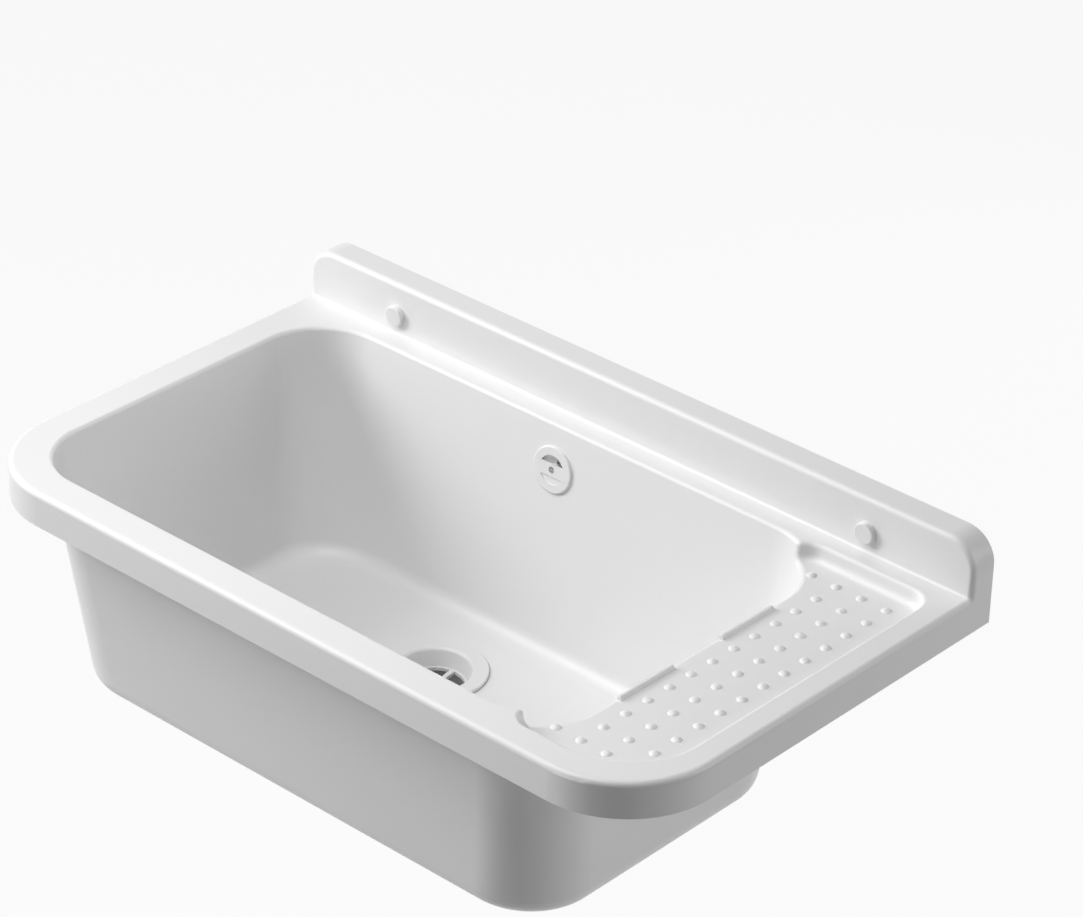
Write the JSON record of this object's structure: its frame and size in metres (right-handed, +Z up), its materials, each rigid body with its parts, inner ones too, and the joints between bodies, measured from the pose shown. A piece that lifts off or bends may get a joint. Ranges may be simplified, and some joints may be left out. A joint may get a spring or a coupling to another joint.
{
  "type": "plastic sink",
  "caption": "Wall-hung plastic utility sink with a deep drafted bowl, a pipped drainboard, a low splashback, a strainer waste and an overflow joined to it by a ribbed hose.",
  "frame": {"origin": "on the wall plane, midway between the two wall screws", "axes": "+X along the wall towards the drainboard, +Y into the wall, +Z up"},
  "size_m": [0.6, 0.38, 0.2846],
  "materials": {
    "moulding": "gloss",
    "fitting": "gloss",
    "cap": "gloss",
    "hose": "satin",
    "seal": "matte",
    "screw": "satin",
    "insert": "satin"
  },
  "bodies": {
    "sink": {"basin": "moulding", "waste_strainer_flange": "fitting", "waste_flange_seal": "seal", "waste_body_seal": "seal", "waste_body": "fitting", "waste_insert": "insert", "waste_screw": "screw", "overflow_rosette": "fitting", "overflow_screw": "screw", "overflow_insert": "insert", "overflow_seal": "seal", "overflow_housing": "fitting", "housing_nut": "fitting", "housing_gasket": "seal", "branch_nut": "fitting", "branch_gasket": "seal", "overflow_hose": "hose", "wall_screw_left": "screw", "wall_screw_right": "screw", "cap_base_left": "cap", "cap_base_right": "cap"},
    "left_cap": {"screw_cap_left": "cap"},
    "right_cap": {"screw_cap_right": "cap"}
  },
  "joints": [
    {"name": "left_cap_pull", "type": "slide", "parent": "sink", "child": "left_cap", "axis": [0, -1, 0], "range_m": [0, 0.014]},
    {"name": "right_cap_pull", "type": "slide", "parent": "sink", "child": "right_cap", "axis": [0, -1, 0], "range_m": [0, 0.014]}
  ]
}
